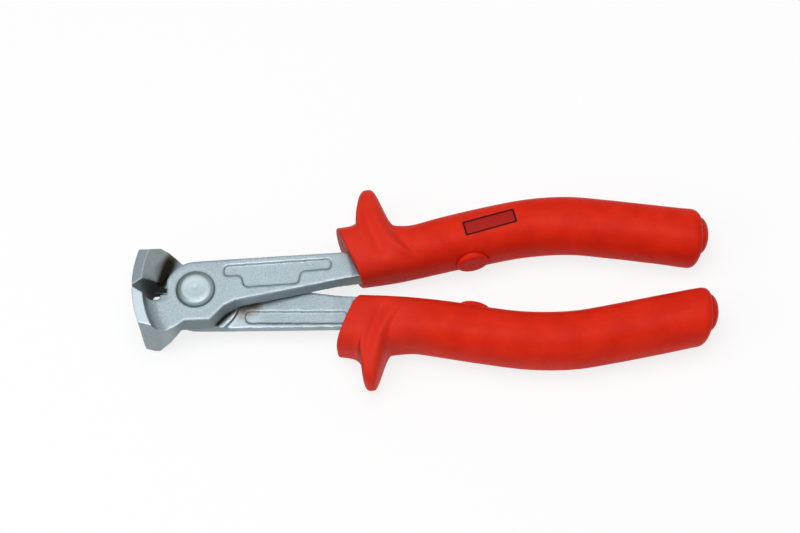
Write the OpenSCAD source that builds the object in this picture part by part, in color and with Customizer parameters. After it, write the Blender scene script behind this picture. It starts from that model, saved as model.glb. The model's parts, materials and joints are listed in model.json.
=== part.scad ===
// End cutting nippers: two forged halves that cross in a lap joint on a rivet,
// each with an insulating sleeve, finger guard and two sleeve plugs.
// The halves are modelled about the rivet's axis, with the handles towards +X.

/* [Joint] */
// Thickness of one half at the joint
joint_t = 5; // [4.4:0.1:6]
// Gap between the two lap faces
lap_gap = 0.06; // [0.02:0.01:0.1]
// Radius of the hub at its lap face
hub_r = 9.5; // [9:0.1:9.8]
// Distance from the rivet's axis to the flat behind the throat
hub_back = 8.1; // [7.4:0.1:8.6]
// Distance from the rivet's axis to the flats of the lobe that leads to the jaw, at its lap face
lobe_r = 10.2; // [9.8:0.1:11]
// Turn of the lobe's slanted flat, towards the arm, in degrees
lobe_turn = 46; // [42:1:50]
// Radius of the ground lap face on the arm
lap_r = 12.2; // [11.6:0.1:14]
// Forging draft on the sides of the halves, in degrees
draft = 10; // [4:1:14]

/* [Rivet] */
// Radius of the rivet's shank
rivet_r = 3.5; // [2.5:0.1:4]
// Radial running clearance of the shank
rivet_clear = 0.05; // [0.02:0.01:0.1]
// Radius of a rivet head where it meets the half
head_r = 5.4; // [4.6:0.1:6]
// Radius of the flat on top of a rivet head
head_flat_r = 3.8; // [2.6:0.1:4.4]
// Height of a rivet head
head_h = 1.4; // [0.8:0.1:2]

/* [Jaws] */
// Distance from the rivet's axis to the cutting edges
jaw_reach = 17.4; // [16.6:0.1:19]
// Length of the cutting edges
jaw_w = 18.6; // [16:0.1:22]
// Distance from the middle of the throat to the back of a jaw
jaw_back = 12.6; // [12:0.1:14]
// Radius of the ground front of the head
front_r = 32; // [26:1:50]
// Width of the ground land on the outer side of a jaw
land_w = 3; // [2:0.1:4]
// Width of the ground land on the lap side of a jaw
lap_land_w = 2.8; // [1.6:0.1:3.4]
// Gap between the closed cutting edges
edge_gap = 0.1; // [0.04:0.02:0.2]
// Radius about the rivet that the other half's hub sweeps
sweep_r = 10; // [9.8:0.1:10.6]

/* [Arms] */
// Distance from the rivet's axis to the end of the arm, inside the sleeve
arm_len = 47; // [46:0.5:50]
// Height of the arm's outer face above the lap plane at its end
arm_end_top = 3.4; // [3:0.1:4]
// Depth of the arm's inner face below the lap plane at its end
arm_end_drop = 1; // [0.4:0.1:1.6]
// Step behind the ground lap face
lap_relief = 1; // [0.6:0.1:2]
// Distance from the tool's axis to the arm's outer edge at its end
arm_outer = 11.2; // [10.6:0.1:12]
// Distance from the tool's axis to the arm's inner edge at its end
arm_inner = 2.7; // [2.4:0.1:3.2]
// Width of the tang inside the sleeve
tang_w = 6.8; // [5:0.1:7.4]
// Width of the tang at its tip
tang_tip_w = 5.4; // [4:0.1:6.4]
// Wall of the sleeve between the tang's tip and the seat of the end plug
tang_stop = 8.55; // [4:0.05:20]
// Depth of the bare panels in the arms
panel_depth = 0.45; // [0.2:0.05:0.6]
// Width of the long panel
panel_w = 3.4; // [2.4:0.1:3.8]

/* [Grips] */
// Distance from the rivet's axis to the middle of the sleeve's mouth
mouth_x = 42.1; // [41.5:0.1:44]
// Length of the sleeve from the middle of its mouth to its butt
grip_len = 99.1; // [94:0.1:110]
// Distance from the tool's axis to the middle of the sleeve where it bellies out
grip_sway = 17.5; // [16:0.1:20]
// Half width of the sleeve
grip_half_w = 7.5; // [7:0.1:9]
// Half thickness of the sleeve
grip_half_t = 8.5; // [7.6:0.1:9.2]
// Half width of the collar at the mouth
collar_half_w = 9.4; // [9:0.1:10.4]
// Half thickness of the collar at the mouth
collar_half_t = 9; // [8:0.1:9.2]
// How much lower the collar is at the lip of the mouth than at the guard
collar_lip = 1.6; // [0.5:0.1:2]
// Slant of the mouth, in degrees
mouth_slant = 21; // [10:1:24]
// Height of the finger guard above the collar
guard_h = 10.4; // [4:0.1:14]
// Distance from the rivet's axis to the foot of the guard
guard_x = 43.7; // [43:0.1:46]
// Radius of the rounded edge at the butt
butt_r = 2.7; // [1.5:0.1:4]
// How far the upper butt stops short of grip_len, and the lower one runs past it
butt_offset = 0.7; // [0:0.1:2]
// Rake of the butts' end faces, with their top edges out, in degrees
butt_rake = 11; // [-14:1:14]
// Gap between the tang and the sleeve
sleeve_clear = 0.1; // [0.05:0.05:0.3]

/* [Plugs] */
// Radius of the side plug
side_plug_r = 4.6; // [3:0.1:5]
// Distance from the rivet's axis to the side plug
side_plug_x = 76.4; // [72:0.2:90]
// Height of the upper side plug above the sleeve
side_plug_proud = 0.5; // [0:0.1:1.6]
// Height of the lower side plug above the sleeve
lower_plug_proud = 0; // [0:0.1:1.6]
// Radius of the end plug
end_plug_r = 3.6; // [3:0.1:5.4]
// Depth of the end plug in the sleeve
end_plug_depth = 4; // [2:0.1:8]
// Height of the end plug above the butt
end_plug_proud = 2.9; // [2.2:0.1:3.4]
// How far the end plugs sit above the middle of the butts, across the tool
end_plug_step = 1.9; // [0:0.1:2.4]
// Radius of the rounded rims of the end plugs
end_plug_round = 2.1; // [0.4:0.1:2.2]
// Radius of the rounded rims of the side plugs
plug_round = 0.6; // [0.2:0.1:0.8]
// Gap between a plug and its seat
plug_clear = 0.05; // [0.02:0.01:0.1]
// How far the side plug's hole breaks into the room for the tang
seat_break = 0.3; // [0.2:0.05:0.6]

/* [Hidden] */
$fn = 64;
steel = "#b3bcc3";
rivet_steel = "#c3cbd0";
red = "#d5281d";
plug_red = "#c92319";
// How far cuts run past the faces that they open
overrun = 1;
// Half of the gap at the lap plane
lap_z = lap_gap / 2;
jaw_z = jaw_w / 2;
// The head's ground front turns about this point of the tool's axis
front_x = front_r - jaw_reach;
// Size of the blocks that cut the draft
block = arm_len + jaw_w;
// Where the arm's outer face starts to fall, and where its inner face starts to fall
fall_share = 0.2;
drop_share = 0.81;
// Where the arm's inner side line starts, and the two ends of the slant that leads to it
// from the lobe, as shares of lobe_r
arm_inner_start_shares = [1.22, -0.42];
arm_slant_shares = [[0.836, -0.578], [1.225, -0.387]];

// Outline of the jaw on the side of the throat, and round its back, as shares of
// jaw_reach along the tool and of jaw_back across it
throat_shares = [[0.83, 0.165], [0.72, 0.225], [0.6, 0.24], [0.46, 0.215], [0.2, 0.2]];
back_shares = [[0.132, 0.714], [0.213, 0.782], [0.322, 0.893], [0.448, 0.985], [0.64, 1], [0.885, 0.897]];
// Where the lobe ends inside the jaw, as a share of jaw_reach
lobe_end_share = 0.25;
// The hollow flank on the lap side: its foot, as a share of front_r, and its pull, as shares of
// the way from the foot to the land along the radius and of half the jaw's width across it
foot_share = 0.67;
pull_shares = [0.42, 0.2];
// Middles of the ends of the outer panel and of the inner slot, as shares of arm_len
// along the arm and of arm_outer across it
outer_panel_shares = [[0.165, 0.471], [0.808, 0.615]];
inner_slot_shares = [[0.283, 0.574], [0.897, 0.723]];
// Corners of the outer panel's second row, as shares of its lower edge
low_row_shares = [0.72, 0.7, 0.187, 0.157];
// Height of the second row, width of the inner slot and rounding of the corners, as shares of panel_w
low_row_share = 1.1;
inner_slot_share = 1.12;
end_round_share = 0.48;
row_round_share = 0.42;

// The middle line of a sleeve, at equal steps along it, as shares of grip_sway
spine_shares = [0.623, 0.62, 0.72, 0.857, 0.977, 1, 0.906, 0.786, 0.674];
// How the mouth's slant, its lip, the collar and the rake of the butt run out, as shares of grip_len
slant_run_share = 0.13;
lip_run_share = 0.05;
collar_flat_share = 0.08;
collar_run_share = 0.16;
rake_run_share = 0.15;
// The guard's crest and its run-out, as shares of grip_len past its foot
crest_shares = [0.033, 0.05];
guard_run_share = 0.128;
// Swell of the sleeve towards its butt, as a share of its half width
swell_share = 0.04;
// Squareness of the sleeve's section at the collar and along the grip
collar_power = 2.15;
grip_power = 2.35;
corner_steps = 6;
front_steps = 18;
body_steps = 20;
butt_steps = 5;
ring_n = 32;
// Where the side plug's seat is measured, as shares of side_plug_r
seat_shares = [-1, -0.5, 0, 0.5, 1];
// How the tang moves over to the middle of the sleeve, as a share of tang_len
tang_run_share = 0.36;
tang_steps = 16;

// Rake and place of the two butts, and side step of their end plugs, before the lower one is turned over
upper_butt = [butt_rake, mouth_x + grip_len - butt_offset, end_plug_step];
lower_butt = [-butt_rake, mouth_x + grip_len + butt_offset, -end_plug_step];
tang_end = upper_butt[1] - end_plug_depth - plug_clear - tang_stop;
tang_len = tang_end - arm_len;
arm_mid = (arm_outer + arm_inner) / 2;
tang_inset = spine_y(arm_len) - arm_mid;
front_end = mouth_x + collar_run_share * grip_len;
side_plug_turn = atan((spine_y(side_plug_x + overrun) - spine_y(side_plug_x - overrun)) / (2 * overrun));
side_plug_seat = sleeve_clear + max([for (s = seat_shares) tang_flank(side_plug_x + s * side_plug_r)]);
// The tail of the tool is the rounded rim of the lower end plug
tail_x = lower_butt[1] + end_plug_round + (end_plug_proud - end_plug_round) * cos(butt_rake)
    + (end_plug_r - end_plug_round) * abs(sin(butt_rake));
mid_x = (tail_x - jaw_reach) / 2;

function mix(a, b, t) = a + (b - a) * t;
function smooth(t) = let (u = max(0, min(1, t))) u * u * (3 - 2 * u);
function bent(v, e) = sign(v) * pow(abs(v), e);
function scaled(shares, along, across) = [for (s = shares) [s[0] * along, s[1] * across]];
function bezier(a, b, c, n) = [for (i = [0 : n]) let (t = i / n) mix(mix(a, b, t), mix(b, c, t), t)];
function towards(a, b, d) = a + d * (b - a) / norm(b - a);

// An outline with its corners rounded, each from its own distance before the corner to the same after it
function rounded(points, rounds) = let (n = len(points)) [for (i = [0 : n - 1])
    let (p = points[i], before = points[(i + n - 1) % n], after = points[(i + 1) % n])
        each bezier(towards(p, before, rounds[i]), p, towards(p, after, rounds[i]), corner_steps)];

// A smooth curve through equally spaced values
function curve(list, s) =
    let (n = len(list) - 1, u = max(0, min(1, s)) * n, i = min(n - 1, floor(u)), f = u - i,
        p = list[max(0, i - 1)], q = list[i], r = list[i + 1], w = list[min(n, i + 2)])
    q + (f * (r - p) + f * f * (2 * p - 5 * q + 4 * r - w) + f * f * f * (3 * q - p - 3 * r + w)) / 2;

function spine_y(x) = grip_sway * curve(spine_shares, (x - mouth_x) / grip_len);
function tang_share(x) = smooth((x - arm_len) / (tang_run_share * tang_len));
function tang_y(x) = spine_y(x) - tang_inset * (1 - tang_share(x));
function tang_half_w(x) = mix(tang_w, tang_tip_w, max(0, x - arm_len) / tang_len) / 2;
// How far the tang's inner side reaches out along the side plug's axis
function tang_flank(x) = (x - side_plug_x) * sin(side_plug_turn)
    + (spine_y(side_plug_x) - tang_y(x) + tang_half_w(x)) * cos(side_plug_turn);

// Sleeve sizes along the tool
function collar_share(x) =
    1 - smooth((x - mouth_x - collar_flat_share * grip_len) / ((collar_run_share - collar_flat_share) * grip_len));
function slant_shift(x) = tan(mouth_slant) * (1 - smooth((x - mouth_x) / (slant_run_share * grip_len)));
function rake_shift(x, butt) = tan(butt[0]) * smooth((x - butt[1]) / (rake_run_share * grip_len) + 1);
function body_half_w(x) =
    mix(grip_half_w * (1 + swell_share * smooth((x - mouth_x) / grip_len)), collar_half_w, collar_share(x));
function guard_at(x) = let (s = (x - guard_x) / grip_len)
    guard_h * smooth(s / crest_shares[0]) * (1 - smooth((s - crest_shares[1]) / (guard_run_share - crest_shares[1])));
function outer_half_w(x) = body_half_w(x) + guard_at(x - slant_shift(x) * collar_half_w)
    - collar_lip * (1 - smooth((x - mouth_x) / (lip_run_share * grip_len)));

// One ring of a sleeve's skin, drawn in by inset at its edges
function ring(x, inset, butt) = [for (i = [0 : ring_n - 1])
    let (a = i * 360 / ring_n,
        p = 2 / mix(grip_power, collar_power, collar_share(x)),
        half_t = mix(grip_half_t, collar_half_t, collar_share(x)) - inset,
        half_w = (cos(a) > 0 ? outer_half_w(x) : body_half_w(x)) - inset,
        across = half_w * bent(cos(a), p),
        slanted = max(-collar_half_w, min(collar_half_w, across)),
        up = half_t * bent(sin(a), p))
    [x - slant_shift(x) * slanted + rake_shift(x, butt) * up, spine_y(x) + across, up]];

module place() {
    translate([-mid_x, 0, jaw_z]) children();
}

module lower() {
    rotate([180, 0, 0]) children();
}

// A prism along Y of an outline in X and Z
module side_prism(points) {
    rotate([90, 0, 0]) linear_extrude(2 * block, center = true) polygon(points);
}

// All that lies on one side of a drafted plane through two points of the lap plane
module drafted_side(from, to, side) {
    turn = atan2(to[1] - from[1], to[0] - from[0]);
    translate(from) rotate([0, 0, turn]) rotate([-side * draft, 0, 0])
        translate([-block, side > 0 ? 0 : -2 * block, -block]) cube([3 * block, 2 * block, 2 * block]);
}

// Outer and inner face of the arm, from the joint to the end of the tang
function outer_line(c) = [[-block, joint_t + c], [fall_share * arm_len, joint_t + c],
    [arm_len, arm_end_top + c], [tang_end + c, arm_end_top + c]];
function inner_line(c) = [[tang_end + c, -arm_end_drop - c], [arm_len, -arm_end_drop - c],
    [drop_share * arm_len, lap_z - c], [lap_r, lap_relief - c], [-block, lap_relief - c]];

// The arm's sides, widened by the clearance c
module arm_sides(c) {
    intersection() {
        drafted_side([0, hub_r + c], [arm_len, arm_outer + c], -1);
        union() {
            drafted_side(lobe_r * arm_inner_start_shares - [0, c], [arm_len, arm_inner - c], 1);
            drafted_side(lobe_r * arm_slant_shares[0] - [0, c], lobe_r * arm_slant_shares[1] - [0, c], 1);
        }
        translate([0, -block, -block]) cube([arm_len + c, 2 * block, 2 * block]);
    }
}

module arm(c) {
    intersection() {
        arm_sides(c);
        side_prism(concat(outer_line(c), inner_line(c)));
    }
}

module tang(c) {
    xs = [for (i = [0 : tang_steps]) mix(arm_len - tang_w / 2, tang_end + c, i / tang_steps)];
    edge = [for (x = xs) [x, tang_y(x) + tang_half_w(x) + c]];
    back = [for (i = [tang_steps : -1 : 0]) [xs[i], tang_y(xs[i]) - tang_half_w(xs[i]) - c]];
    translate([0, 0, -arm_end_drop - c]) linear_extrude(arm_end_top + arm_end_drop + 2 * c)
        polygon(concat(edge, back));
}

// The lobe that leads to the jaw, with a flat behind the jaw and a slanted one towards the arm
module lobe() {
    start = -lobe_end_share * jaw_reach;
    slant = lobe_r * [sin(lobe_turn), -cos(lobe_turn)];
    intersection() {
        drafted_side([0, -lobe_r], [lobe_r, -lobe_r], 1);
        drafted_side(slant, slant + lobe_r * [cos(lobe_turn), sin(lobe_turn)], 1);
        translate([start, -block, lap_z])
            cube([lobe_r * arm_slant_shares[0][0] - start, block, joint_t - lap_z]);
    }
}

// Hub and ground lap face, round the rivet
module joint_disc() {
    shrink = (joint_t - lap_z) * tan(draft);
    translate([0, 0, lap_z]) {
        intersection() {
            cylinder(joint_t - lap_z, hub_r, hub_r - shrink);
            translate([-hub_back, -block, 0]) cube([2 * block, 2 * block, joint_t]);
        }
        intersection() {
            cylinder(arm_end_top - lap_z, r = lap_r);
            translate([0, 0, -lap_z]) arm_sides(0);
        }
    }
}

// The jaw's section, from the head's turning point outwards: a land on both sides of the
// edge, a round hollow on the outer side and a deep one on the lap side
function jaw_section() =
    let (crease = front_r - land_w, hollow = jaw_z - joint_t, foot = foot_share * front_r,
        outer = [for (a = [0 : 15 : 90]) [crease - hollow + hollow * cos(a), jaw_z - hollow * sin(a)]],
        flank = bezier([foot, lap_z], [mix(foot, front_r - lap_land_w, pull_shares[0]), -pull_shares[1] * jaw_z],
            [front_r - lap_land_w, -jaw_z], 8))
    concat([[front_x, lap_z]], flank, [[front_r, -jaw_z], [front_r, jaw_z]], outer, [[front_x, joint_t]]);

module jaw() {
    front = -jaw_reach - overrun;
    outline = concat([[front, -edge_gap / 2], [-jaw_reach, -edge_gap / 2]],
        scaled(throat_shares, -jaw_reach, -jaw_back), scaled(back_shares, -jaw_reach, -jaw_back),
        [[front, -back_shares[len(back_shares) - 1][1] * jaw_back]]);
    difference() {
        intersection() {
            linear_extrude(2 * jaw_w, center = true) polygon(outline);
            translate([front_x, 0, 0]) rotate_extrude($fn = 128) polygon(jaw_section());
        }
        translate([0, 0, -jaw_w]) cylinder(jaw_w + lap_z, r = sweep_r);
    }
}

// Outlines of the bare panels where a maker would stamp the arm
function outer_panel() =
    let (ends = scaled(outer_panel_shares, arm_len, arm_outer), up = [0, panel_w / 2],
        left = ends[0] - up, right = ends[1] - up, low = [0, low_row_share * panel_w],
        row = [for (s = low_row_shares) mix(left, right, s)],
        end_r = end_round_share * panel_w, row_r = row_round_share * panel_w)
    rounded([left, ends[0] + up, ends[1] + up, right, row[0], row[1] - low, row[2] - low, row[3]],
        [end_r, end_r, end_r, end_r, row_r, row_r, row_r, row_r]);
function inner_slot() =
    let (ends = scaled(inner_slot_shares, arm_len, arm_outer), w = inner_slot_share * panel_w, up = [0, w / 2])
    rounded([ends[0] - up, ends[0] + up, ends[1] + up, ends[1] - up], end_round_share * w * [1, 1, 1, 1]);

module panels() {
    intersection() {
        linear_extrude(2 * joint_t) polygon(outer_panel());
        side_prism(concat(outer_line(overrun), [for (i = [3 : -1 : 0]) outer_line(-panel_depth)[i]]));
    }
    intersection() {
        linear_extrude(2 * joint_t, center = true) polygon(inner_slot());
        side_prism(concat(inner_line(overrun), [for (i = [4 : -1 : 0]) inner_line(-panel_depth)[i]]));
        drafted_side([lap_r, -block], [lap_r, block], -1);
    }
}

module half() {
    difference() {
        union() {
            jaw();
            joint_disc();
            lobe();
            arm(0);
            tang(0);
        }
        cylinder(4 * joint_t, r = rivet_r + rivet_clear, center = true);
        panels();
    }
}

module rivet() {
    seat = joint_t + lap_z;
    side = [for (a = [0 : 18 : 90]) [mix(head_flat_r, head_r, cos(a)), seat + head_h * sin(a)]];
    flip = [for (i = [len(side) - 1 : -1 : 0]) [side[i][0], -side[i][1]]];
    rotate_extrude() polygon(concat([[0, -seat - head_h]], flip, [[rivet_r, -seat], [rivet_r, seat]],
        side, [[0, seat + head_h]]));
}

// A plug with a rounded rim, standing on the XY plane
module plug(r, h, edge) {
    rim = [for (a = [0 : 15 : 90]) [r - edge * (1 - cos(a)), h - edge * (1 - sin(a))]];
    rotate_extrude() polygon(concat([[0, 0], [r, 0]], rim, [[0, h]]));
}

// Seats of the plugs, with +Z out of the sleeve
module at_side_plug() {
    translate([side_plug_x, spine_y(side_plug_x), 0]) rotate([90, 0, side_plug_turn])
        translate([0, 0, side_plug_seat]) children();
}

module at_end_plug(butt) {
    translate([butt[1], spine_y(butt[1]) + butt[2], 0]) rotate([0, 90 + butt[0], 0])
        translate([0, 0, -end_plug_depth]) children();
}

module skin(butt) {
    fronts = [for (i = [0 : front_steps]) ring(mix(mouth_x, front_end, i / front_steps), 0, butt)];
    bodies = [for (i = [1 : body_steps]) ring(mix(front_end, butt[1] - butt_r, i / body_steps), 0, butt)];
    butts = [for (i = [1 : butt_steps]) let (a = i * 90 / butt_steps)
        ring(butt[1] - butt_r * (1 - sin(a)), butt_r * (1 - cos(a)), butt)];
    rings = concat(fronts, bodies, butts);
    last = len(rings) - 1;
    points = concat([for (r = rings, p = r) p],
        [for (r = [rings[0], rings[last]]) [for (p = r) 1] * r / ring_n]);
    sides = [for (k = [0 : last - 1], i = [0 : ring_n - 1])
        let (j = (i + 1) % ring_n, a = k * ring_n) each [[a + i, a + ring_n + i, a + j],
            [a + j, a + ring_n + i, a + ring_n + j]]];
    caps = [for (i = [0 : ring_n - 1])
        let (j = (i + 1) % ring_n, a = last * ring_n, tip = (last + 1) * ring_n)
            each [[tip, i, j], [tip + 1, a + j, a + i]]];
    polyhedron(points, concat(sides, caps));
}

module sleeve(butt) {
    difference() {
        skin(butt);
        arm(sleeve_clear);
        tang(sleeve_clear);
        at_side_plug() translate([0, 0, -seat_break]) cylinder(2 * grip_half_w, r = side_plug_r + plug_clear);
        at_end_plug(butt) translate([0, 0, -plug_clear])
            cylinder(2 * end_plug_depth, r = end_plug_r + plug_clear);
    }
}

module side_plug(proud) {
    wall = body_half_w(side_plug_x) - side_plug_seat;
    at_side_plug() translate([0, 0, plug_clear]) plug(side_plug_r, wall + proud - plug_clear, plug_round);
}

module end_plug(butt) {
    at_end_plug(butt) plug(end_plug_r, end_plug_depth + end_plug_proud, end_plug_round);
}

module upper_half() { color(steel) place() half(); }
module lower_half() { color(steel) place() lower() half(); }
module pivot_rivet() { color(rivet_steel) place() rivet(); }
module upper_grip() { color(red) place() sleeve(upper_butt); }
module lower_grip() { color(red) place() lower() sleeve(lower_butt); }
module upper_side_plug() { color(plug_red) place() side_plug(side_plug_proud); }
module lower_side_plug() { color(plug_red) place() lower() side_plug(lower_plug_proud); }
module upper_end_plug() { color(plug_red) place() end_plug(upper_butt); }
module lower_end_plug() { color(plug_red) place() lower() end_plug(lower_butt); }

upper_half();
lower_half();
pivot_rivet();
upper_grip();
lower_grip();
upper_side_plug();
lower_side_plug();
upper_end_plug();
lower_end_plug();
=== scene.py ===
import json
import math

import bpy
from mathutils import Matrix, Vector, noise

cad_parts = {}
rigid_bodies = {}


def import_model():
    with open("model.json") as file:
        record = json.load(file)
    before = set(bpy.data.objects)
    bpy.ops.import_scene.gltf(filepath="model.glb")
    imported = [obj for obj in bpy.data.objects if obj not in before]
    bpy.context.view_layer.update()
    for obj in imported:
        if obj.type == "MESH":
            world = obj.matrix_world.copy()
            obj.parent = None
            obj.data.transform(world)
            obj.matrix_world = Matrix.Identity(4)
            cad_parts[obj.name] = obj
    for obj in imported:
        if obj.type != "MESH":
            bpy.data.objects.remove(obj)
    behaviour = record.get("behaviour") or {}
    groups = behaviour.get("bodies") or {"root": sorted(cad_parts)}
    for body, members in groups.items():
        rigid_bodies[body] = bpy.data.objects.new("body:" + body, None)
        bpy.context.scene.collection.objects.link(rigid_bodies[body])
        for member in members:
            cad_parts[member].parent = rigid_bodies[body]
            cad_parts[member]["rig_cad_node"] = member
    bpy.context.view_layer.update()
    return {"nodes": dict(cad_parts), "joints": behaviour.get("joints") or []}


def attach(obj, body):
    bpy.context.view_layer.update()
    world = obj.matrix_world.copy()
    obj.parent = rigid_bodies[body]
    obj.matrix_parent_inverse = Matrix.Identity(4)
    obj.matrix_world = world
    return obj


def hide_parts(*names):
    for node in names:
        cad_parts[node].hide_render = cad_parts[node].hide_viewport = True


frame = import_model()
bpy.ops.object.select_all(action="DESELECT")
pivot = Vector(frame["joints"][0]["pos_m"])  # the rivet's axis at the lap plane
mm = 0.001
weldGap = 0.001 * mm
print("frame loaded, rivet at", [round(value, 5) for value in pivot])


# Small helpers for modelling by operators

def pickOnly(*pieces):
    bpy.ops.object.select_all(action="DESELECT")
    for piece in pieces:
        piece.select_set(True)
    bpy.context.view_layer.objects.active = pieces[0]


def editAll(piece):
    pickOnly(piece)
    bpy.ops.object.mode_set(mode="EDIT")
    bpy.ops.mesh.select_all(action="SELECT")


def leaveEdit():
    bpy.ops.object.mode_set(mode="OBJECT")


def applyModifier(piece, kind, **settings):
    pickOnly(piece)
    modifier = piece.modifiers.new(kind.title(), kind)
    for name, value in settings.items():
        setattr(modifier, name, value)
    bpy.ops.object.modifier_apply(modifier=modifier.name)


def copyNode(node, name):
    pickOnly(frame["nodes"][node])
    bpy.ops.object.duplicate()
    piece = bpy.context.object
    piece.name = name
    piece.parent = None
    del piece["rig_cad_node"]
    piece.data.materials.clear()
    editAll(piece)
    bpy.ops.mesh.remove_doubles(threshold=weldGap)
    leaveEdit()
    return piece


def moveTo(piece, matrix):
    piece.matrix_world = matrix
    pickOnly(piece)
    bpy.ops.object.transform_apply(location=True, rotation=True, scale=True)


def smoothShade(piece, degrees):
    pickOnly(piece)
    bpy.ops.object.shade_smooth_by_angle(angle=math.radians(degrees))


def dress(piece, body, node, material):
    piece.data.materials.clear()
    piece.data.materials.append(material)
    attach(piece, body)
    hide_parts(node)


# Plain curves that the shapes share

def mix(a, b, share):
    return a + (b - a) * share


def smooth(share):
    share = max(0.0, min(1.0, share))
    return share * share * (3 - 2 * share)


def bump(distance, width):
    return math.exp(-(distance / width) ** 2)


def bent(value, power):
    return math.copysign(abs(value) ** power, value)


def inPowers(terms, share):
    return sum(term * share ** power for power, term in enumerate(terms))


def quarterTurns(steps):
    return [math.pi / 2 * i / steps for i in range(steps + 1)]


# Sizes below are millimetres from the rivet's axis, on the half that lies on top.
# The other half is the same one turned over about X.

def asDrawn(point, turned):
    local = (point - pivot) / mm
    return Vector((local.x, -local.y, -local.z)) if turned else local


def asPlaced(point, turned):
    x, y, z = point
    return pivot + Vector((x, -y, -z) if turned else (x, y, z)) * mm


def standing(foot, aim, lift, turned):
    # for a piece made along Z: points it along aim, lifted that far from its foot
    direction = asPlaced(foot + aim, turned) - asPlaced(foot, turned)
    turn = direction.to_track_quat("Z", "Y").to_matrix().to_4x4()
    return Matrix.Translation(asPlaced(foot + aim * lift, turned)) @ turn


# Material helpers

noiseSpan = (0.3, 0.7)  # the part of a noise's range that the finishes use


def newMaterial(name):
    material = bpy.data.materials.new(name)
    material.use_nodes = True
    tree = material.node_tree
    return material, tree, tree.nodes["Principled BSDF"]


def feed(tree, socket, value):
    if isinstance(value, bpy.types.NodeSocket):
        tree.links.new(value, socket)
    else:
        socket.default_value = value


def addNode(tree, kind, inputs=None, **settings):
    node = tree.nodes.new(kind)
    for name, value in settings.items():
        setattr(node, name, value)
    for key, value in (inputs or {}).items():
        feed(tree, node.inputs[key], value)
    return node


def grain(tree, place, scale, detail):
    # the noise's own roughness is the same in every finish
    inputs = {"Vector": place, "Scale": scale, "Detail": detail, "Roughness": 0.55}
    return addNode(tree, "ShaderNodeTexNoise", inputs).outputs["Fac"]


def ranged(tree, value, low, high, toLow=0.0, toHigh=1.0):
    inputs = {"Value": value, "From Min": low, "From Max": high, "To Min": toLow, "To Max": toHigh}
    return addNode(tree, "ShaderNodeMapRange", inputs, interpolation_type="SMOOTHSTEP").outputs["Result"]


def tinted(tree, factor, first, second):
    # the node's colour sockets are told apart by number
    node = addNode(tree, "ShaderNodeMix", {0: factor, 6: first, 7: second}, data_type="RGBA")
    return node.outputs[2]


def combined(tree, operation, first, second):
    inputs = {0: first, 1: second}
    return addNode(tree, "ShaderNodeMath", inputs, operation=operation, use_clamp=True).outputs[0]


def vectorMath(tree, operation, first, second):
    return addNode(tree, "ShaderNodeVectorMath", {0: first, 1: second}, operation=operation).outputs


def axisOf(tree, vector, axis):
    return addNode(tree, "ShaderNodeSeparateXYZ", {"Vector": vector}).outputs[axis]


def absolute(tree, value):
    return addNode(tree, "ShaderNodeMath", {0: value}, operation="ABSOLUTE").outputs[0]


def objectPlace(tree):
    return addNode(tree, "ShaderNodeTexCoord").outputs["Object"]


def awayFrom(tree, place, x, y):
    # distance from an upright axis
    flat = vectorMath(tree, "MULTIPLY", place, (1, 1, 0))["Vector"]
    return vectorMath(tree, "DISTANCE", flat, (pivot.x + x * mm, pivot.y + y * mm, 0))["Value"]


def nearLine(tree, place, first, last, inner, outer):
    # one along a line and within its inner reach, and nought past the outer
    first, last = asPlaced(first, False), asPlaced(last, False)
    span = last - first
    local = vectorMath(tree, "SUBTRACT", place, first)["Vector"]
    share = vectorMath(tree, "DOT_PRODUCT", local, span / span.length_squared)["Value"]
    inputs = {0: span, "Scale": combined(tree, "ADD", share, 0.0)}
    foot = addNode(tree, "ShaderNodeVectorMath", inputs, operation="SCALE").outputs["Vector"]
    away = vectorMath(tree, "DISTANCE", local, foot)["Value"]
    return ranged(tree, away, inner * mm, outer * mm, 1.0, 0.0)


def bumpOn(tree, shader, height, strength, depth):
    inputs = {"Height": height, "Strength": strength, "Distance": depth * mm}
    node = addNode(tree, "ShaderNodeBump", inputs)
    tree.links.new(node.outputs["Normal"], shader.inputs["Normal"])


# Blasted steel of the two forgings

forging = dict(
    voxel=0.235, rounds=16, firm=0.24,  # remesh step, rounds of smoothing, and its share on crisp places
    # two blocks, low and high corner, that make the ledge in the corner of the throat
    ledges=(((-13.0, -6.0, 2.5), (-7.9, -2.5, 4.9)), ((-10.0, -6.0, 2.5), (-7.9, -1.0, 4.9))),
    frontX=14.6, frontR=32.0, groundBand=4.2,  # centre and radius of the round front, and its ground band
    # sunk panels: ends of the middle line, and width
    panels=(
        ((7.76, 5.28), (37.98, 6.89), 3.4),
        ((14.5, 2.0), (28.0, 2.75), 3.8),
        ((13.3, 6.43), (42.16, 8.1), 3.81),
    ),
    panelEdge=0.7, cornerAim=(0, -0.906, -0.423), cornerX=-7.0, edgeAngle=30,
)

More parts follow.
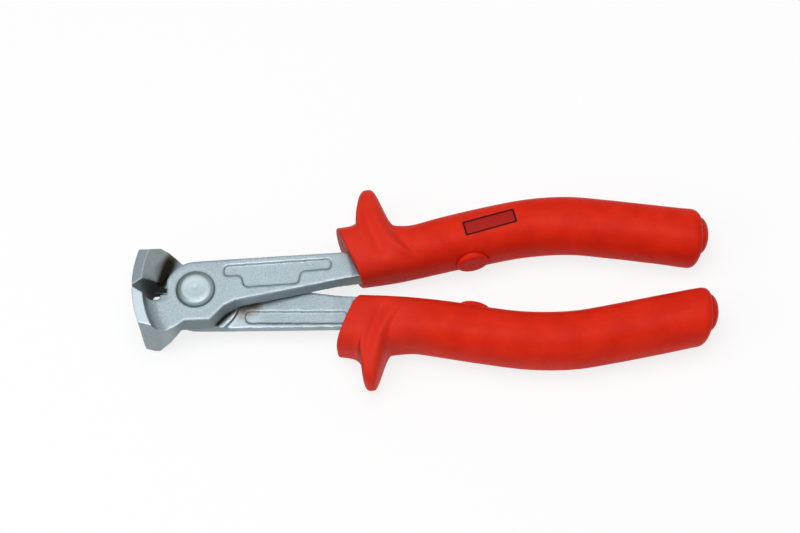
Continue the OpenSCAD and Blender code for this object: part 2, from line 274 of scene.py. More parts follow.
steelFinish = dict(
    light=(0.290, 0.351, 0.380, 1), dark=(0.203, 0.248, 0.273, 1),  # the blasted grain's two tones
    # edge, land and side hold painted light and shade: a bright tone for ridges and for a painted patch of
    # light, a painted lit tone for the ground lands and flank, and painted shade on the forged sides
    edge=(0.42, 0.49, 0.52, 1), land=(0.355, 0.422, 0.448, 1), side=(0.290, 0.352, 0.368, 1),
    hubSideShade=(0.165, 0.212, 0.224, 1), lapShade=(0.150, 0.178, 0.196, 1),
    grime=(0.030, 0.034, 0.034, 1), stain=(0.085, 0.052, 0.022, 1), sootAndShadeTone=(0.014, 0.013, 0.010, 1),
    grainScale=3300, grainSpan=(0.32, 0.68), mottleScale=260, rough=(0.40, 0.50), bump=(0.3, 0.03),
    metal=(0.8, 0.1), shine=(0.5, 0.1), sootRough=0.4,  # clean and where soot and painted shade lie, and what they add
    # the ground lands: where they fade in, and how far a face is turned up there
    landR=(28.9, 29.5), landFacing=(0.3, 0.6), lapFade=(2.0, 6.0),
    flankX=(-9.0, -6.0), flankFacing=(0.3, 0.5),
    # the painted shade on the forged sides: where it starts behind the jaws, how far the faces are turned up,
    # and the reach of the darker shade round the hub
    behindX=(-12.0, -8.0), sideFacing=(0.25, 0.75), sideShare=0.85, hubReach=(11.0, 15.0),
    # ridges are brightened as edge wear and painted highlight; corners are painted dark as shade
    edgeBend=(0.51, 0.56), edgeShare=0.4, grimeBend=(0.45, 0.496), grimeShare=0.95,
    throat=((-11.4, 0.0), 2.6, 5.4),  # middle of the throat, and reach of the soot and painted shade in it
    # soot with painted shade in the valleys between parts, brown stains that hardening left, and a painted
    # patch of light: ends of a line, inner and outer reach
    sootAndShadeStreaks=(((-7.7, 9.2, 2.2), (-9.9, 2.9, 2.7), 1.0, 3.0), ((10.2, -4.2, 0.0), (5.6, -8.4, 0.0), 0.3, 1.6)),
    stains=(
        ((-6.7, 11.0, 2.1), (-9.8, 6.3, 3.6), 0.8, 3.2),
        ((12.0, -5.2, -1.0), (16.0, -3.6, -1.0), 0.2, 3.0),
    ),
    blotchSpan=(0.3, 0.62), blotchShare=(0.35, 0.85),
    litPatch=((12.0, -9.0, -1.0), (14.0, -8.4, -1.0), 2.0, 6.0), litFacing=(0.6, 0.9), litShare=0.45,
    rivetRing=(5.45, 5.8), ringShare=0.75,  # shadow line round the rivet
    cutRing=(6.3, 6.5, 6.75), cutShare=0.25,  # faint ring cut round it
)


def lapProduct(tree, place):
    # Y times Z about the rivet: positive on the lap side of each jaw, negative on its open side
    local = vectorMath(tree, "SUBTRACT", place, pivot)["Vector"]
    inputs = {0: axisOf(tree, local, "Y"), 1: axisOf(tree, local, "Z")}
    return addNode(tree, "ShaderNodeMath", inputs, operation="MULTIPLY").outputs[0]


def groundLands(tree, place, level, colour):
    # painted light and shade on the ground land along each cutting edge: painted lighter on its open side and
    # on the flank near the jaws, painted dark as shade on its lap side
    finish = steelFinish
    low, high = finish["landR"]
    land = ranged(tree, awayFrom(tree, place, forging["frontX"], 0), low * mm, high * mm)
    land = combined(tree, "MULTIPLY", land, ranged(tree, level, *finish["landFacing"]))
    product = lapProduct(tree, place)
    low, high = (area * mm * mm for area in finish["lapFade"])
    lapped = ranged(tree, product, low, high)
    opened = ranged(tree, product, -high, -low, 1, 0)
    near, far = (pivot.x + x * mm for x in finish["flankX"])
    flank = combined(tree, "MULTIPLY", lapped, ranged(tree, level, *finish["flankFacing"]))
    flank = combined(tree, "MULTIPLY", flank, ranged(tree, axisOf(tree, place, "X"), near, far, 1, 0))
    colour = tinted(tree, flank, colour, finish["land"])
    colour = tinted(tree, combined(tree, "MULTIPLY", land, lapped), colour, finish["lapShade"])
    return tinted(tree, combined(tree, "MULTIPLY", land, opened), colour, finish["land"])


def shadedSides(tree, place, sides, fromRivet, colour):
    # painted shade: the sides behind the jaws are painted darker by how far they are turned sideways, darkest
    # round the hub
    finish = steelFinish
    near, far = (pivot.x + x * mm for x in finish["behindX"])
    behind = ranged(tree, axisOf(tree, place, "X"), near, far)
    low, high = finish["hubReach"]
    sideColour = tinted(tree, ranged(tree, fromRivet, low * mm, high * mm), finish["hubSideShade"], finish["side"])
    return tinted(tree, combined(tree, "MULTIPLY", sides, behind), colour, sideColour)


def wornLitEdgesShadedCorners(tree, bend, colour):
    # bright on ridges as edge wear and painted highlight, dark in corners and recesses as painted shade
    finish = steelFinish
    ridges = ranged(tree, bend, *finish["edgeBend"], 0.0, finish["edgeShare"])
    corners = ranged(tree, bend, *finish["grimeBend"], finish["grimeShare"], 0.0)
    colour = tinted(tree, ridges, colour, finish["edge"])
    return tinted(tree, corners, colour, finish["grime"])


def rivetRings(tree, fromRivet, colour):
    finish = steelFinish
    low, high = finish["rivetRing"]
    shadow = ranged(tree, fromRivet, low * mm, high * mm, finish["ringShare"], 0.0)
    colour = tinted(tree, shadow, colour, finish["grime"])
    low, middle, high = finish["cutRing"]
    rising = ranged(tree, fromRivet, low * mm, middle * mm)
    falling = ranged(tree, fromRivet, middle * mm, high * mm, finish["cutShare"], 0.0)
    return tinted(tree, combined(tree, "MULTIPLY", rising, falling), colour, finish["edge"])


def steelMaterial():
    finish = steelFinish
    material, tree, shader = newMaterial("blastedSteel")
    place = objectPlace(tree)
    fine = grain(tree, place, finish["grainScale"], 2.0)
    broad = grain(tree, place, finish["mottleScale"], 4.0)
    colour = tinted(tree, ranged(tree, fine, *finish["grainSpan"]), finish["dark"], finish["light"])
    geometry = addNode(tree, "ShaderNodeNewGeometry").outputs
    level = absolute(tree, axisOf(tree, geometry["Normal"], "Z"))
    # mask for the painted shade on faces turned to the side
    sides = ranged(tree, level, *finish["sideFacing"], finish["sideShare"], 0.0)
    fromRivet = awayFrom(tree, place, 0, 0)
    colour = groundLands(tree, place, level, colour)
    colour = shadedSides(tree, place, sides, fromRivet, colour)
    colour = wornLitEdgesShadedCorners(tree, geometry["Pointiness"], colour)
    # painted light: a paler patch on the lower arm's upward faces
    lifted = ranged(tree, level, *finish["litFacing"], 0.0, finish["litShare"])
    litPatch = combined(tree, "MULTIPLY", nearLine(tree, place, *finish["litPatch"]), lifted)
    colour = tinted(tree, litPatch, colour, finish["edge"])
    colour = rivetRings(tree, fromRivet, colour)
    blotches = ranged(tree, broad, *finish["blotchSpan"], *finish["blotchShare"])
    for streak in finish["stains"]:
        patch = combined(tree, "MULTIPLY", nearLine(tree, place, *streak), blotches)
        colour = tinted(tree, patch, colour, finish["stain"])
    # soot and painted shade, in the throat and along the streaks, are dull as well as dark
    middle, inner, outer = finish["throat"]
    inThroat = ranged(tree, awayFrom(tree, place, *middle), inner * mm, outer * mm, 1.0, 0.0)
    sootAndShadeMask = combined(tree, "MULTIPLY", inThroat, sides)
    for streak in finish["sootAndShadeStreaks"]:
        sootAndShadeMask = combined(tree, "MAXIMUM", sootAndShadeMask, nearLine(tree, place, *streak))
    colour = tinted(tree, sootAndShadeMask, colour, finish["sootAndShadeTone"])
    rough = ranged(tree, broad, *noiseSpan, *finish["rough"])
    rough = combined(tree, "ADD", rough, ranged(tree, sootAndShadeMask, 0, 1, 0, finish["sootRough"]))
    feed(tree, shader.inputs["Base Color"], colour)
    feed(tree, shader.inputs["Metallic"], ranged(tree, sootAndShadeMask, 0, 1, *finish["metal"]))
    feed(tree, shader.inputs["Specular IOR Level"], ranged(tree, sootAndShadeMask, 0, 1, *finish["shine"]))
    feed(tree, shader.inputs["Roughness"], rough)
    bumpOn(tree, shader, fine, *finish["bump"])
    return material


# Turned steel of the rivet

rivetFinish = dict(
    light=(0.325, 0.390, 0.420, 1), dark=(0.275, 0.330, 0.356, 1), rim=(0.125, 0.158, 0.162, 1),
    ringScale=1500, ringBend=1.5, ringShare=0.35, grainScale=4200, grainShare=0.65,
    metal=0.8, rough=(0.34, 0.46), bump=(0.25, 0.03), rimReach=(3.5, 4.1),
    shadeAim=(-0.8, 0.6, 0), shadeReach=(-5.0, 4.0), rimShadeShare=(0.3, 0.95),  # painted shade: the rim is darker on one side
)


def rivetMaterial():
    finish = rivetFinish
    material, tree, shader = newMaterial("turnedRivet")
    place = objectPlace(tree)
    centre = addNode(tree, "ShaderNodeMapping", {"Vector": place, "Location": -pivot}).outputs["Vector"]
    inputs = {"Vector": centre, "Scale": finish["ringScale"], "Distortion": finish["ringBend"]}
    rings = addNode(tree, "ShaderNodeTexWave", inputs, wave_type="RINGS", rings_direction="Z").outputs["Fac"]
    fine = grain(tree, place, finish["grainScale"], 2.0)
    ringed = ranged(tree, rings, 0, 1, 0, finish["ringShare"])
    both = combined(tree, "ADD", ringed, ranged(tree, fine, *noiseSpan, 0, finish["grainShare"]))
    colour = tinted(tree, both, finish["dark"], finish["light"])
    turned = vectorMath(tree, "DOT_PRODUCT", centre, finish["shadeAim"])["Value"]
    near, far = finish["shadeReach"]
    shade = ranged(tree, turned, near * mm, far * mm, *finish["rimShadeShare"])
    low, high = finish["rimReach"]
    rim = combined(tree, "MULTIPLY", shade, ranged(tree, awayFrom(tree, place, 0, 0), low * mm, high * mm))
    feed(tree, shader.inputs["Base Color"], tinted(tree, rim, colour, finish["rim"]))
    feed(tree, shader.inputs["Metallic"], finish["metal"])
    feed(tree, shader.inputs["Roughness"], ranged(tree, fine, *noiseSpan, *finish["rough"]))
    bumpOn(tree, shader, both, *finish["bump"])
    return material


# Red plastic of the sleeves and plugs, with a blank plate on one sleeve

labelPlate = dict(
    centre=(82.5, 15.75, 8.3), turn=14.4, size=(14.9, 4.4),
    depth=0.22, edgeRun=0.5, edgeStart=0.9, facing=0.3,  # how it is sunk into the sleeve
    line=0.5, corner=0.35, blur=0.1, under=(-4.0, -3.0),  # its dark border, and where its colour stops below
)

redFinish = dict(
    light=(0.68, 0.022, 0.006, 1), dark=(0.60, 0.016, 0.004, 1), ink=(0.020, 0.002, 0.003, 1),
    plate=(0.37, 0.013, 0.010, 1),
    cut=(0.36, 0.010, 0.006, 1), cutEnd=47.0, cutFacing=(-0.85, -0.65),  # painted shade on the cut end at the mouth, darker where it faces back towards the jaws
    sheen=(0.66, 0.042, 0.024, 1), sheenX=(52.0, 70.0), sheenShare=0.35,  # painted sheen, paler by the guards
    mottleScale=160, grainScale=1500, rough=(0.42, 0.56), shine=0.07, bump=(0.12, 0.05),
)


def plateMask(tree, place):
    # masks of the whole plate, and of its core inside the border line
    tilt = math.radians(-labelPlate["turn"])
    shift = -(Matrix.Rotation(tilt, 4, "Z") @ asPlaced(labelPlate["centre"], False))
    inputs = {"Vector": place, "Location": shift, "Rotation": (0, 0, tilt)}
    local = addNode(tree, "ShaderNodeMapping", inputs).outputs["Vector"]
    spans = []
    for axis, size in zip("XY", labelPlate["size"]):
        inputs = {0: absolute(tree, axisOf(tree, local, axis)), 1: size / 2 * mm}
        spans.append(addNode(tree, "ShaderNodeMath", inputs, operation="SUBTRACT").outputs[0])
    inputs = {0: spans[0], 1: spans[1], 2: 2 * labelPlate["corner"] * mm}
    outside = addNode(tree, "ShaderNodeMath", inputs, operation="SMOOTH_MAX").outputs[0]
    low, high = labelPlate["under"]
    above = ranged(tree, axisOf(tree, local, "Z"), low * mm, high * mm)
    line, blur = labelPlate["line"], labelPlate["blur"]
    inside = combined(tree, "MULTIPLY", ranged(tree, outside, -blur * mm, blur * mm, 1, 0), above)
    core = ranged(tree, outside, -(line + blur) * mm, -(line - blur) * mm, 1, 0)
    return inside, core


def redMaterial(name, labelled):
    finish = redFinish
    material, tree, shader = newMaterial(name)
    place = objectPlace(tree)
    broad = grain(tree, place, finish["mottleScale"], 4.0)
    fine = grain(tree, place, finish["grainScale"], 3.0)
    colour = tinted(tree, ranged(tree, broad, *noiseSpan), finish["dark"], finish["light"])
    front = axisOf(tree, place, "X")
    near, far = (pivot.x + x * mm for x in finish["sheenX"])
    colour = tinted(tree, ranged(tree, front, near, far, finish["sheenShare"], 0), colour, finish["sheen"])
    forward = axisOf(tree, addNode(tree, "ShaderNodeTexCoord").outputs["Normal"], "X")
    end = pivot.x + finish["cutEnd"] * mm
    facing = ranged(tree, forward, *finish["cutFacing"], 1, 0)
    cut = combined(tree, "MULTIPLY", facing, ranged(tree, front, end - mm, end, 1, 0))
    colour = tinted(tree, cut, colour, finish["cut"])
    if labelled:
        inside, core = plateMask(tree, place)
        edged = tinted(tree, core, finish["ink"], finish["plate"])
        colour = tinted(tree, inside, colour, edged)
    feed(tree, shader.inputs["Base Color"], colour)
    feed(tree, shader.inputs["Roughness"], ranged(tree, fine, *noiseSpan, *finish["rough"]))
    feed(tree, shader.inputs["Specular IOR Level"], finish["shine"])
    bumpOn(tree, shader, fine, *finish["bump"])
    return material


steel = steelMaterial()
turnedSteel = rivetMaterial()
labelledRed = redMaterial("redSleeveLabelled", True)
plainRed = redMaterial("redSleeve", False)
plugRed = redMaterial("redPlug", False)
print("materials made")


# Red sleeves: a sheet is rolled up, shaped ring by ring, and hollowed for the tang and plugs

sleeve = dict(
    mouthX=42.1, length=99.1, sway=17.5, halfW=7.5, halfT=8.5, buttR=2.7, swell=0.04,
    spine=(0.623, 0.62, 0.72, 0.857, 0.977, 1.0, 0.906, 0.786, 0.674),
    slantRun=0.13, collarFlat=0.08, collarRun=0.2, boxFlat=0.1, boxRun=0.32,
    innerRun=0.375, rakeRun=0.15, gripPower=2.35, filletRun=1.05, waistX=60.0, waistW=7.0,
    mouthR=0.8, around=160, capRings=6, frontRings=150, bodyRings=170, roundRings=8,
    wave=0.05, waveScale=0.16, waveShift=7.0, edgeAngle=40,
)
sleeveSides = (
    dict(name="upperSleeve", node="upper_grip", half="upper_half", body="upper_lever", turned=False,
         rake=11.0, buttX=140.5, plugStep=1.1, plugProud=0.6, creaseX=55.2, labelled=True,
         collarHalfW=8.27, collarHalfT=8.64, outerPower=2.69, innerPower=2.8,
         slant=24.5, lip=1.35, lipRun=0.09, waist=1.2,
         tipX=48.15, tipReach=3.25, tipFall=(0.75, 7.0), fillet=0.08, guardH=11.3,
         inner=(8.64, 8.10, 7.58, 7.36, 7.25, 7.25, 7.59)),
    dict(name="lowerSleeve", node="lower_grip", half="lower_half", body="lower_lever", turned=True,
         rake=-11.0, buttX=141.9, plugStep=-1.1, plugProud=0.55, creaseX=53.2, labelled=False,
         collarHalfW=8.36, collarHalfT=8.41, outerPower=2.96, innerPower=2.74,
         slant=23.6, lip=0.7, lipRun=0.05, waist=0.65,
         tipX=48.2, tipReach=2.7, tipFall=(0.7, 5.1), fillet=0.25, guardH=10.44,
         inner=(8.14, 7.66, 7.32, 7.40, 7.64, 7.79, 7.59)),
)
# soft ridge, valley and crease that cross the grip behind the guard, as curves over the share across it
handRidge = dict(
    topY=20.0, spanY=13.0, mostShare=1.15,
    ridge=0.8, ridgeW=2.1, ridgeX=(50.0, 1.5, 8.2), valley=0.9, valleyW=1.8, valleyX=(48.0, 4.4),
    crease=0.55, creaseW=1.3, creaseBend=(1.2, 0.0, 5.8),
    facing=0.45, facingRun=0.4, fadeY=19.0, fadeRun=6.0, lowShare=0.85, lowRun=0.27,
)
# bare pads low on the two flanks: side, and where each starts and ends
pads = dict(
    flanks=((-1, 97.0, 130.0), (1, 101.0, 136.0)),
    proud=0.16, halfH=2.9, endRun=0.8, edgeRun=0.7, facing=0.5,
)
plugs = dict(
    sideX=75.9, sideR=4.6, sideSeat=3.55, sideReach=14.0, endR=3.6, endDepth=4.0, clear=0.05,
    grooveW=0.8, groove=0.28, around=96,
)


def throughKnots(knots, share):
    # smooth curve through evenly spaced knots
    last = len(knots) - 1
    place = max(0.0, min(1.0, share)) * last
    i = min(last - 1, int(place))
    part = place - i
    before, start, end, after = (knots[max(0, min(last, i + step))] for step in (-1, 0, 1, 2))
    slope = end - before
    curve = 2 * before - 5 * start + 4 * end - after
    twist = 3 * start - before - 3 * end + after
    return start + (part * slope + part * part * curve + part ** 3 * twist) / 2


def alongSleeve(x):
    return (x - sleeve["mouthX"]) / sleeve["length"]


def spineAt(x):
    return sleeve["sway"] * throughKnots(sleeve["spine"], alongSleeve(x))


def fading(x, flat, run):
    return 1 - smooth((alongSleeve(x) - flat) / (run - flat))


def slantAt(x, side):
    return math.tan(math.radians(side["slant"])) * fading(x, 0, sleeve["slantRun"])


def rakeAt(x, side):
    run = sleeve["rakeRun"] * sleeve["length"]
    return math.tan(math.radians(side["rake"])) * smooth((x - side["buttX"]) / run + 1)


def plainHalfW(x):
    return sleeve["halfW"] * (1 + sleeve["swell"] * smooth(alongSleeve(x)))


def innerHalfW(x, side):
    share = alongSleeve(x) / sleeve["innerRun"]
    return throughKnots(side["inner"], share) if share < 1 else plainHalfW(x)


def guardAt(x, side):
    # round tip, steep flank towards the jaws with a fillet at its foot, and a long slope to the grip
    away = x - side["tipX"]
    reach = side["tipReach"]
    low, run = side["tipFall"]
    foot = side["fillet"] * math.exp(min(0.0, away + reach) / sleeve["filletRun"])
    flank = math.sqrt(max(0.0, 1 - (max(0.0, -away) / reach) ** 3))
    return side["guardH"] * max(foot, flank) * (1 - smooth((away - low) / run))


def outerHalfW(x, side):
    lip = side["lip"] * fading(x, 0, side["lipRun"])
    waist = side["waist"] * bump(x - sleeve["waistX"], sleeve["waistW"])
    guard = guardAt(x - slantAt(x, side) * side["collarHalfW"], side)
    collar = fading(x, sleeve["collarFlat"], sleeve["collarRun"])
    return mix(plainHalfW(x), side["collarHalfW"], collar) + guard - lip - waist


def sleeveRings(side):
    # each ring is its place along the sleeve, its inset, and its share of the full width
    mouthR, buttR, mouthX = sleeve["mouthR"], sleeve["buttR"], sleeve["mouthX"]
    frontEnd = mouthX + sleeve["collarRun"] * sleeve["length"]
    buttX = side["buttX"]
    caps, turns = sleeve["capRings"], quarterTurns(sleeve["roundRings"])
    rings = [(mouthX, mouthR, i / caps) for i in range(caps)]
    for turn in turns[:-1]:
        rings.append((mouthX + mouthR * (1 - math.cos(turn)), mouthR * (1 - math.sin(turn)), 1.0))
    steps = sleeve["frontRings"]
    rings += [(mix(mouthX + mouthR, frontEnd, i / steps), 0.0, 1.0) for i in range(steps)]
    steps = sleeve["bodyRings"]
    rings += [(mix(frontEnd, buttX - buttR, i / steps), 0.0, 1.0) for i in range(steps)]
    for turn in turns:
        rings.append((buttX - buttR * (1 - math.sin(turn)), buttR * (1 - math.cos(turn)), 1.0))
    rings += [(buttX, buttR, 1 - i / caps) for i in range(1, caps + 1)]
    return rings


def ringPoint(ring, angle, side):
    x, inset, share = ring
    outer = math.cos(angle) > 0
    boxy = fading(x, sleeve["boxFlat"], sleeve["boxRun"])
    power = 2 / mix(sleeve["gripPower"], side["outerPower" if outer else "innerPower"], boxy)
    collar = fading(x, sleeve["collarFlat"], sleeve["collarRun"])
    halfT = mix(sleeve["halfT"], side["collarHalfT"], collar) - inset
    halfW = (outerHalfW(x, side) if outer else innerHalfW(x, side)) - inset
    across = halfW * bent(math.cos(angle), power) * share
    upward = halfT * bent(math.sin(angle), power) * share
    slanted = max(-side["collarHalfW"], min(side["collarHalfW"], across))
    return Vector((x - slantAt(x, side) * slanted + rakeAt(x, side) * upward, spineAt(x) + across, upward))


def plugSeats(side):
    # foot on the sleeve's middle line, direction and radius of the side plug and the end plug
    turn = math.atan2(spineAt(plugs["sideX"] + 1) - spineAt(plugs["sideX"] - 1), 2)
    out = Vector((math.sin(turn), -math.cos(turn), 0))
    foot = Vector((plugs["sideX"], spineAt(plugs["sideX"]), 0))
    rake = math.radians(side["rake"])
    end = Vector((side["buttX"], spineAt(side["buttX"]) + side["plugStep"], 0))
    endOut = Vector((math.cos(rake), 0, -math.sin(rake)))
    return (foot, out, plugs["sideR"]), (end, endOut, plugs["endR"])


def ridgesAt(point, normal, side):
    hand = handRidge
    share = max(0.0, min(hand["mostShare"], (hand["topY"] - point.y) / hand["spanY"]))
    facing = smooth((abs(normal.z) - hand["facing"]) / hand["facingRun"])
    facing *= 1 - smooth((point.y - hand["fadeY"]) / hand["fadeRun"])
    facing *= 1 - smooth((share - hand["lowShare"]) / hand["lowRun"])
    creaseX = (side["creaseX"], *hand["creaseBend"])
    height = hand["ridge"] * bump(point.x - inPowers(hand["ridgeX"], share), hand["ridgeW"])
    height -= hand["valley"] * bump(point.x - inPowers(hand["valleyX"], share), hand["valleyW"])
    height -= hand["crease"] * bump(point.x - inPowers(creaseX, share), hand["creaseW"])
    return facing * height


def padsAt(point, normal):
    height = 0.0
    for out, low, high in pads["flanks"]:
        if normal.y * out > pads["facing"]:
            inPad = smooth((point.x - low) / pads["endRun"]) * (1 - smooth((point.x - high) / pads["endRun"]))
            height += pads["proud"] * inPad * (1 - smooth((abs(point.z) - pads["halfH"]) / pads["edgeRun"]))
    return height


def groovesAt(point, seats):
    depth = 0.0
    for foot, out, radius in seats:
        along = (point - foot).dot(out)
        away = (point - foot - out * along).length
        if along > 0:
            depth += plugs["groove"] * (1 - smooth((away - radius) / plugs["grooveW"]))
    return depth


def plateAt(point, normal):
    if normal.z <= labelPlate["facing"]:
        return 0.0
    flat = Vector((point.x, point.y, 0)) - Vector((*labelPlate["centre"][:2], 0))
    flat.rotate(Matrix.Rotation(math.radians(-labelPlate["turn"]), 3, "Z"))
    outside = max(abs(flat.x) - labelPlate["size"][0] / 2, abs(flat.y) - labelPlate["size"][1] / 2)
    return labelPlate["depth"] * (1 - smooth(outside / labelPlate["edgeRun"] + labelPlate["edgeStart"]))


def sleeveDetail(point, normal, side, seats):
    shift = Vector((0, 0, sleeve["waveShift"] if side["turned"] else 0))
    moved = sleeve["wave"] * noise.noise(point * sleeve["waveScale"] + shift)
    moved += ridgesAt(point, normal, side) + padsAt(point, normal) - groovesAt(point, seats)
    return moved - plateAt(point, normal) if side["labelled"] else moved


def hollowCutters(side, seats):
    turned = side["turned"]
    (foot, out, sideR), (end, endOut, endR) = seats
    depth = plugs["endDepth"]
    bores = (
        (foot, out, sideR, plugs["sideSeat"], plugs["sideReach"]),
        (end, endOut, endR, -depth - plugs["clear"], 2 * depth),
    )
    cutters = [copyNode(side["half"], side["name"] + "Hollow")]
    for base, aim, radius, start, reach in bores:
        width = (radius + plugs["clear"]) * mm
        bpy.ops.mesh.primitive_cylinder_add(vertices=plugs["around"], radius=width, depth=reach * mm)
        cutter = bpy.context.object
        moveTo(cutter, standing(base, aim, start + reach / 2, turned))
        cutters.append(cutter)
    return cutters


def makeSleeve(side):
    turned = side["turned"]
    rings = sleeveRings(side)
    seats = plugSeats(side)
    last = len(rings) - 1
    bpy.ops.mesh.primitive_grid_add(x_subdivisions=last, y_subdivisions=sleeve["around"], size=2)
    piece = bpy.context.object
    piece.name = side["name"]
    for vert in piece.data.vertices:
        ring = rings[round((vert.co.x + 1) / 2 * last)]
        vert.co = asPlaced(ringPoint(ring, math.pi * (vert.co.y + 1), side), turned)
    editAll(piece)
    bpy.ops.mesh.remove_doubles(threshold=weldGap)
    bpy.ops.mesh.normals_make_consistent(inside=False)
    leaveEdit()
    places = [asDrawn(vert.co, turned) for vert in piece.data.vertices]
    normals = [Vector(vert.normal) for vert in piece.data.vertices]
    if turned:
        normals = [Vector((n.x, -n.y, -n.z)) for n in normals]
    for vert, place, normal in zip(piece.data.vertices, places, normals):
        vert.co = asPlaced(place + normal * sleeveDetail(place, normal, side, seats), turned)
    for cutter in hollowCutters(side, seats):
        applyModifier(piece, "BOOLEAN", operation="DIFFERENCE", object=cutter, solver="EXACT")
        bpy.data.objects.remove(cutter)
    smoothShade(piece, sleeve["edgeAngle"])
    dress(piece, side["body"], side["node"], labelledRed if side["labelled"] else plainRed)
    print(side["name"], "made with", len(piece.data.polygons), "faces")


for side in sleeveSides:
    makeSleeve(side)


# Round pieces, turned up from a circle ring by ring

turning = dict(around=96, edgeAngle=35)


def turnPiece(name, outline, matrix):
    radius, height = outline[0]
    bpy.ops.mesh.primitive_circle_add(vertices=turning["around"], radius=radius * mm, fill_type="NOTHING")
    piece = bpy.context.object
    piece.name = name
    editAll(piece)
    bpy.ops.transform.translate(value=(0, 0, height * mm))
    bpy.ops.mesh.extrude_region_move(TRANSFORM_OT_translate={"value": (0, 0, 0)})
    bpy.ops.mesh.merge(type="CENTER")
    bpy.ops.mesh.select_all(action="DESELECT")
    leaveEdit()
    for vert in piece.data.vertices:
        vert.select = abs(vert.co.xy.length - radius * mm) < weldGap
    bpy.ops.object.mode_set(mode="EDIT")
    for nextRadius, nextHeight in outline[1:]:
        rise = (0, 0, (nextHeight - height) * mm)
        bpy.ops.mesh.extrude_region_move(TRANSFORM_OT_translate={"value": rise})
        grow = nextRadius / radius
        bpy.ops.transform.resize(value=(grow, grow, 1), center_override=(0, 0, nextHeight * mm))
        radius, height = nextRadius, nextHeight
    bpy.ops.mesh.extrude_region_move(TRANSFORM_OT_translate={"value": (0, 0, 0)})
    bpy.ops.mesh.merge(type="CENTER")
    bpy.ops.mesh.select_all(action="SELECT")
    bpy.ops.mesh.remove_doubles(threshold=weldGap / 10)
    bpy.ops.mesh.normals_make_consistent(inside=False)
    leaveEdit()
    moveTo(piece, matrix)
    smoothShade(piece, turning["edgeAngle"])
    return piece


rivet = dict(
    shankR=3.5, seat=5.03, headR=5.4, flatR=3.8, headH=1.4, footIn=0.15, footH=0.12, steps=8,
    dishR=2.9, dish=0.04, dishEdge=0.3, floorShare=0.3, floorR=1.5, pipR=0.5, pip=0.03, pipShare=0.5,
)


def rivetOutline():
    size = rivet
    foot = size["seat"] + size["footH"]
    top = size["seat"] + size["headH"]
    floor = top + size["dish"] * size["floorShare"]
    head = [(size["shankR"], size["seat"]), (size["headR"] - size["footIn"], size["seat"])]
    for turn in quarterTurns(size["steps"]):
        head.append((mix(size["flatR"], size["headR"], math.cos(turn)), mix(foot, top, math.sin(turn))))
    # a shallow dish with a punched pip in the middle
    head += [(size["dishR"], top + size["dish"]), (size["dishR"] - size["dishEdge"], floor)]
    head += [(size["floorR"], floor), (size["pipR"], top)]
    head.append((size["pipR"] * size["pipShare"], top - size["pip"]))
    under = [(radius, -height) for radius, height in reversed(head)]
    return under + head


rivetPiece = turnPiece("pivotRivet", rivetOutline(), Matrix.Translation(pivot))
dress(rivetPiece, "upper_lever", "pivot_rivet", turnedSteel)
print("rivet turned")


plugShape = dict(
    headR=5.3, headH=2.7, sideRound=1.2, sideDome=0.75, faceShares=(0.66, 0.33), chamfer=0.2, steps=10,
)


def plugFoot(radius):
    return [(radius - plugShape["chamfer"], 0.0), (radius, plugShape["chamfer"])]


def sidePlugOutline(radius, height):
    edge, dome = plugShape["sideRound"], plugShape["sideDome"]
    outline = plugFoot(radius)
    for turn in quarterTurns(plugShape["steps"]):
        outline.append((radius - edge * (1 - math.cos(turn)), height - dome * (1 - math.sin(turn))))
    return outline + [((radius - edge) * share, height) for share in plugShape["faceShares"]]


def endPlugOutline(radius, depth):
    headR, headH = plugShape["headR"], plugShape["headH"]
    outline = plugFoot(radius) + [(radius, depth)]
    for turn in quarterTurns(plugShape["steps"])[:-1]:
        outline.append((headR * math.cos(turn), depth + headH * math.sin(turn)))
    return outline


def makePlugs(side):
    (foot, out, sideR), (end, endOut, endR) = plugSeats(side)
    seat = plugs["sideSeat"] + plugs["clear"]
    sideH = innerHalfW(plugs["sideX"], side) - seat + side["plugProud"]
    sideName = side["node"].split("_")[0]
    depth = plugs["endDepth"] + plugs["clear"]
    both = (
        ("SidePlug", "side_plug", foot + out * seat, out, sidePlugOutline(sideR, sideH)),
        ("EndPlug", "end_plug", end - endOut * plugs["endDepth"], endOut, endPlugOutline(endR, depth)),
    )
    for name, node, base, aim, outline in both:
        piece = turnPiece(sideName + name, outline, standing(base, aim, 0.0, side["turned"]))
        dress(piece, side["body"], sideName + "_" + node, plugRed)


for side in sleeveSides:
    makePlugs(side)
print("plugs turned")


# Steel halves: the forging's rounded edges come from a fine remesh that is smoothed where it isn't ground

# the corner of each jaw is ground flat at cornerAt along cornerAim
halves = (
    dict(node="upper_half", name="upperHalf", body="upper_lever", turned=False, cornerAt=14.8),
    dict(node="lower_half", name="lowerHalf", body="lower_lever", turned=True, cornerAt=13.8),
)


def nearSlot(point, start, end, width):
    first, last, spot = Vector(start), Vector(end), Vector((point.x, point.y))
    along = max(0.0, min(1.0, (spot - first).dot(last - first) / (last - first).length_squared))
    return (spot - first.lerp(last, along)).length < width / 2 + forging["panelEdge"]


def isCrisp(point):
    if math.hypot(point.x - forging["frontX"], point.y) > forging["frontR"] - forging["groundBand"]:
        return True
    return any(nearSlot(point, start, end, width) for start, end, width in forging["panels"])


def addLedges(piece, turned):
    for low, high in forging["ledges"]:
        low, high = asPlaced(low, turned), asPlaced(high, turned)
        span = [abs(a - b) for a, b in zip(low, high)]
        bpy.ops.mesh.primitive_cube_add(size=1, location=(low + high) / 2, scale=span)
        pickOnly(piece, bpy.context.object)
        bpy.ops.object.join()


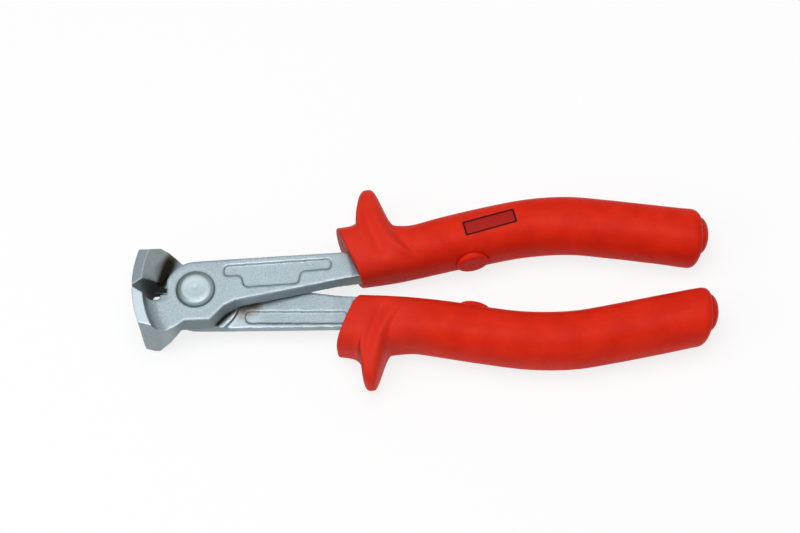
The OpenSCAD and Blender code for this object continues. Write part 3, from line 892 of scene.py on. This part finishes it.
def soften(piece, turned):
    crisp = [isCrisp(asDrawn(vert.co, turned)) for vert in piece.data.vertices]
    group = piece.vertex_groups.new(name="soft")
    group.add([i for i, firm in enumerate(crisp) if not firm], 1.0, "REPLACE")
    group.add([i for i, firm in enumerate(crisp) if firm], forging["firm"], "REPLACE")
    applyModifier(piece, "SMOOTH", factor=0.5, iterations=forging["rounds"], vertex_group="soft")
    piece.vertex_groups.clear()


def grindCorner(piece, turned, cornerAt):
    aim = Vector(forging["cornerAim"])
    for vert in piece.data.vertices:
        place = asDrawn(vert.co, turned)
        over = place.dot(aim) - cornerAt
        if over > 0 and place.x < forging["cornerX"]:
            vert.co = asPlaced(place - aim * over, turned)


def makeHalf(half):
    turned = half["turned"]
    piece = copyNode(half["node"], half["name"])
    addLedges(piece, turned)
    applyModifier(piece, "REMESH", mode="VOXEL", voxel_size=forging["voxel"] * mm)
    soften(piece, turned)
    grindCorner(piece, turned, half["cornerAt"])
    smoothShade(piece, forging["edgeAngle"])
    dress(piece, half["body"], half["node"], steel)
    print(half["name"], "forged with", len(piece.data.polygons), "faces")


for half in halves:
    makeHalf(half)


# Floor, light and camera

stage = dict(floorSize=6.0, drop=0.1, floorColour=(0.92, 0.92, 0.92, 1), floorRough=0.9, whiteShare=0.8)


def seenDirectly(tree):
    path = addNode(tree, "ShaderNodeLightPath")
    seen = combined(tree, "ADD", path.outputs["Is Camera Ray"], path.outputs["Is Glossy Ray"])
    return combined(tree, "ADD", seen, path.outputs["Is Transmission Ray"])


def makeFloor():
    bpy.ops.mesh.primitive_plane_add(size=stage["floorSize"], location=(0, 0, -stage["drop"] * mm))
    floor = bpy.context.object
    floor.name = "floor"
    material, tree, shader = newMaterial("paleFloor")
    shader.inputs["Base Color"].default_value = stage["floorColour"]
    shader.inputs["Roughness"].default_value = stage["floorRough"]
    shader.inputs["Specular IOR Level"].default_value = 0.0
    white = addNode(tree, "ShaderNodeEmission", {"Color": (1, 1, 1, 1), "Strength": 1.0})
    share = combined(tree, "MULTIPLY", seenDirectly(tree), stage["whiteShare"])
    inputs = {0: share, 1: shader.outputs["BSDF"], 2: white.outputs["Emission"]}
    mixed = addNode(tree, "ShaderNodeMixShader", inputs)
    tree.links.new(mixed.outputs["Shader"], tree.nodes["Material Output"].inputs["Surface"])
    floor.data.materials.append(material)


lamps = dict(
    key=dict(at=(-0.04, -0.02, 0.75), aim=(0, 0, 0.01), size=0.5, power=3.7),
    fill=dict(at=(-0.45, -0.20, 0.45), aim=(0, 0, 0.01), size=0.5, power=0.8),
)
worldLight = 0.35


def makeLights():
    for name, lamp in lamps.items():
        bpy.ops.object.light_add(type="AREA", location=lamp["at"])
        light = bpy.context.object
        light.name = name + "Light"
        light.data.size = lamp["size"]
        light.data.energy = lamp["power"]
        light.rotation_euler = (Vector(lamp["aim"]) - Vector(lamp["at"])).to_track_quat("-Z", "Y").to_euler()
    world = bpy.data.worlds.new("studio")
    bpy.context.scene.world = world
    world.use_nodes = True
    tree = world.node_tree
    background = tree.nodes["Background"]
    background.inputs["Color"].default_value = (1, 1, 1, 1)
    strength = ranged(tree, seenDirectly(tree), 0, 1, worldLight, 1.0)
    tree.links.new(strength, background.inputs["Strength"])


# angles in degrees, sizes in millimetres
camera = dict(
    tilt=25.0, azimuth=5.15, roll=-1.17, distance=900.0, aim=(56.91, 6.95, 0.0),
    lens=144.64, sensor=36.0, clip=10.0,
)


def makeCamera():
    tilt, azimuth, roll = (math.radians(camera[key]) for key in ("tilt", "azimuth", "roll"))
    back = Vector((math.sin(tilt) * math.sin(azimuth), -math.sin(tilt) * math.cos(azimuth), math.cos(tilt)))
    right = Vector((0, 1, 0)).cross(back).normalized()
    upward = back.cross(right)
    rolledRight = math.cos(roll) * right + math.sin(roll) * upward
    rolledUp = math.cos(roll) * upward - math.sin(roll) * right
    place = asPlaced(camera["aim"], False) + back * camera["distance"] * mm
    bpy.ops.object.camera_add()
    eye = bpy.context.object
    eye.name = "photoCamera"
    axes = Matrix((rolledRight, rolledUp, back)).transposed().to_4x4()
    eye.matrix_world = Matrix.Translation(place) @ axes
    eye.data.lens = camera["lens"]
    eye.data.sensor_width = camera["sensor"]
    eye.data.clip_start = camera["clip"] * mm
    bpy.context.scene.camera = eye


makeFloor()
makeLights()
makeCamera()
bpy.context.scene.view_settings.view_transform = "Standard"
print("stage set")
